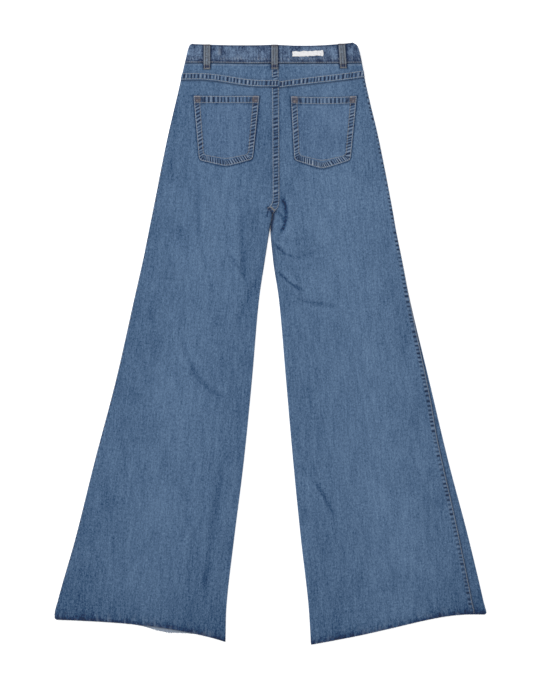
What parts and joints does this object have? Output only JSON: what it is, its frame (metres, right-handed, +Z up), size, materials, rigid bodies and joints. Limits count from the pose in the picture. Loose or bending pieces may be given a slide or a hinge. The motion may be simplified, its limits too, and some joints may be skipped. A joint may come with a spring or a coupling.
{
  "type": "wide leg jeans",
  "caption": "Wide leg denim jeans laid flat with the back up: high waistband, pointed yoke, patch back pockets, flared legs with raw hems.",
  "frame": {"origin": "middle of the outline in X and Y, on the surface that the jeans lie on", "axes": "+X towards the wearer's right, +Y towards the waist, +Z up off the surface, out of the back of the garment"},
  "size_m": [0.8207, 1.1431, 0.0119],
  "materials": {
    "denim": "matte",
    "band_denim": "matte",
    "pocket_denim": "matte",
    "label_tape": "matte",
    "button_metal": "satin"
  },
  "bodies": {
    "root": {"back_left": "denim", "back_right": "denim", "front_left": "denim", "front_right": "denim", "yoke_left": "denim", "yoke_right": "denim", "pocket_facing_left": "denim", "pocket_facing_right": "denim", "waistband_left": "band_denim", "waistband_right": "band_denim", "belt_loop_back_left": "band_denim", "belt_loop_back_centre": "band_denim", "belt_loop_back_right": "band_denim", "belt_loop_front_left": "band_denim", "belt_loop_front_right": "band_denim", "pocket_left": "pocket_denim", "pocket_right": "pocket_denim", "label": "label_tape", "button": "button_metal"}
  },
  "joints": []
}
